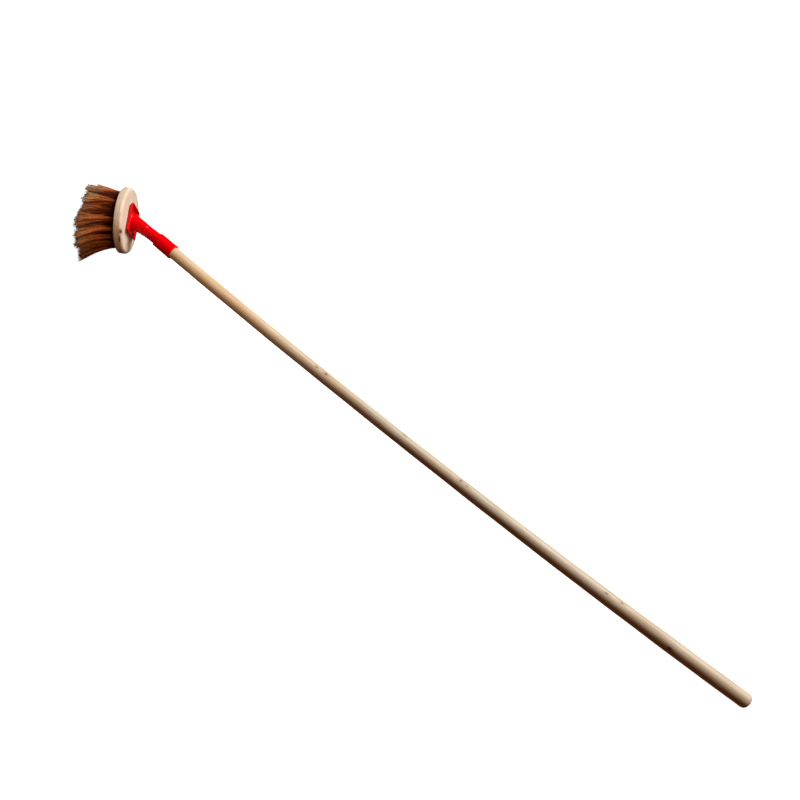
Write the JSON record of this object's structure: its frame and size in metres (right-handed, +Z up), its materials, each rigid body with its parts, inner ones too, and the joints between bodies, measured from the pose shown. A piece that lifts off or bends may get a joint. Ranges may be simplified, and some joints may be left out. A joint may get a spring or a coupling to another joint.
{
  "type": "long-handled round scrubbing brush",
  "caption": "Round natural-fibre scrubbing brush: wooden block with flared bristle tufts, angled red plastic socket and a long wooden handle.",
  "frame": {"origin": "middle of the bounding box's underside, on the floor that the brush lies on", "axes": "+X along the handle from the head to the free end, +Z up from the floor; the block's back face looks towards +X and +Y"},
  "size_m": [1.3914, 0.1676, 0.1291],
  "materials": {
    "block_wood": "sanded pale softwood, unvarnished",
    "handle_wood": "smooth turned wood, a few small knots",
    "red_plastic": "glossy moulded plastic",
    "screw_steel": "zinc-plated",
    "bristle_fibre": "stiff natural plant fibre, red-brown with pale frayed tips"
  },
  "bodies": {
    "head": {"block": "block_wood", "socket": "red_plastic", "flange_screw_1": "screw_steel", "flange_screw_2": "screw_steel", "flange_screw_3": "screw_steel", "flange_screw_4": "screw_steel", "tuft_01": "bristle_fibre", "tuft_02": "bristle_fibre", "tuft_03": "bristle_fibre", "tuft_04": "bristle_fibre", "tuft_05": "bristle_fibre", "tuft_06": "bristle_fibre", "tuft_07": "bristle_fibre", "tuft_08": "bristle_fibre", "tuft_09": "bristle_fibre", "tuft_10": "bristle_fibre", "tuft_11": "bristle_fibre", "tuft_12": "bristle_fibre", "tuft_13": "bristle_fibre", "tuft_14": "bristle_fibre", "tuft_15": "bristle_fibre", "tuft_16": "bristle_fibre", "tuft_17": "bristle_fibre", "tuft_18": "bristle_fibre", "tuft_19": "bristle_fibre", "tuft_20": "bristle_fibre", "tuft_21": "bristle_fibre", "tuft_22": "bristle_fibre", "tuft_23": "bristle_fibre", "tuft_24": "bristle_fibre", "tuft_25": "bristle_fibre", "tuft_26": "bristle_fibre", "tuft_27": "bristle_fibre", "tuft_28": "bristle_fibre", "tuft_29": "bristle_fibre", "tuft_30": "bristle_fibre", "tuft_31": "bristle_fibre", "tuft_32": "bristle_fibre", "tuft_33": "bristle_fibre", "tuft_34": "bristle_fibre", "tuft_35": "bristle_fibre", "tuft_36": "bristle_fibre", "tuft_37": "bristle_fibre"},
    "stick": {"handle": "handle_wood"}
  },
  "joints": [
    {"name": "handle_pull", "type": "slide", "parent": "head", "child": "stick", "axis": [0.9994, 0, -0.0338], "range_m": [0, 0.045]}
  ]
}
